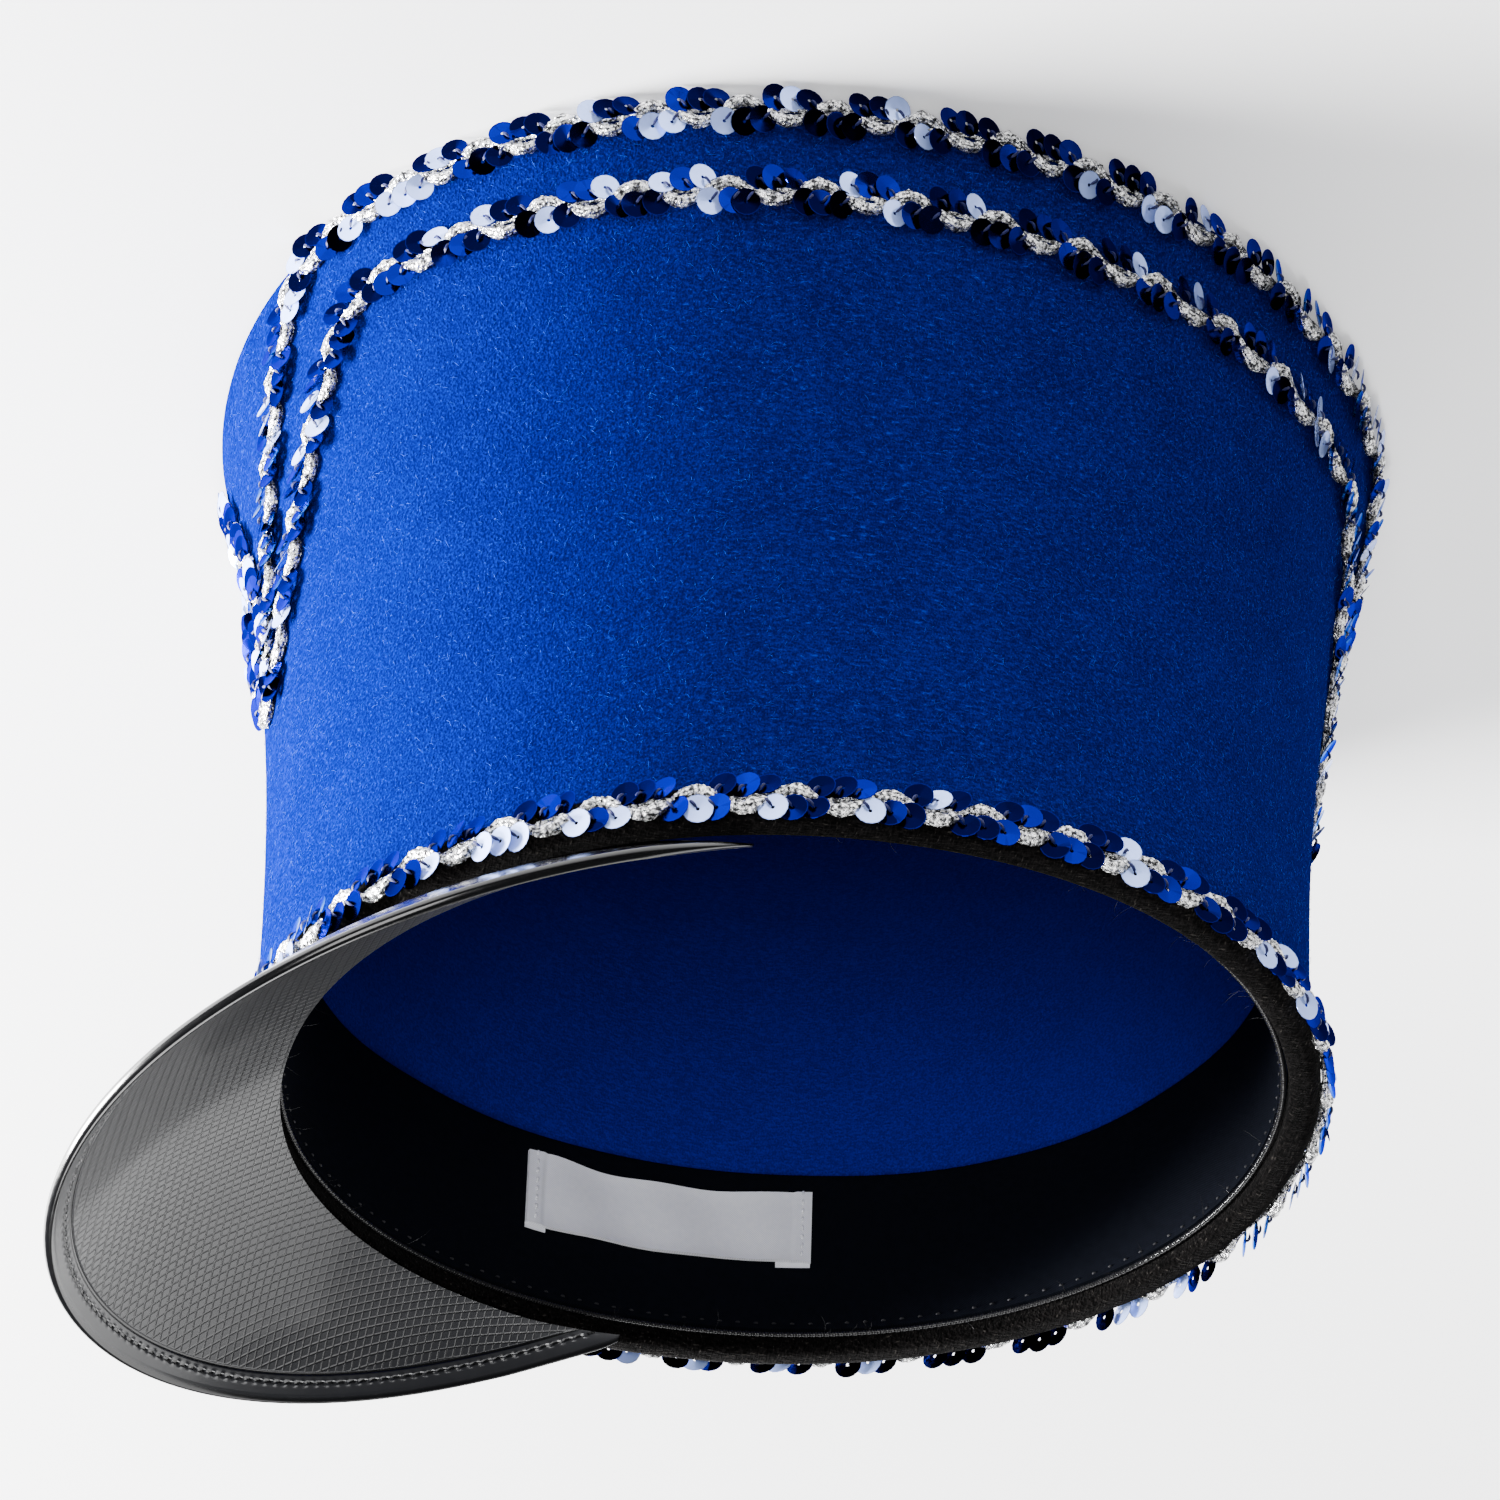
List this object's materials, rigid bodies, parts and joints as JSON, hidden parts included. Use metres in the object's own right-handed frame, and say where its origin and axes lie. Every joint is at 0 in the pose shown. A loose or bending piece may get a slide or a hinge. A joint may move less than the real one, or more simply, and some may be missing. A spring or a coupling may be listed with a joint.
{
  "type": "shako hat",
  "caption": "Flared felt shako with a flat crown, black edge band, moulded drooping peak, inner sweatband and sequin braid trims, for a head.",
  "frame": {"origin": "middle of the flat crown top, on which the hat rests upside down", "axes": "+Z from the crown top to the head opening, -Y towards the peak at the front, +X towards the wearer's right side"},
  "size_m": [0.2277, 0.2767, 0.2315],
  "materials": {
    "blue_felt": "matt wool felt",
    "black_felt": "matt wool felt",
    "black_cloth": "smooth cloth",
    "reed": "ribbed, satin",
    "peak_plastic": "glossy outside, grained inside",
    "white_weave": "woven ribbon",
    "sequin_braid": "metallic cord with sequins"
  },
  "bodies": {
    "root": {"felt_crown": "blue_felt", "edge_band": "black_felt", "sweatband": "black_cloth", "sweatband_reed": "reed", "peak": "peak_plastic", "label": "white_weave", "base_braid": "sequin_braid", "upper_braid_right": "sequin_braid", "upper_braid_left": "sequin_braid"}
  },
  "joints": []
}
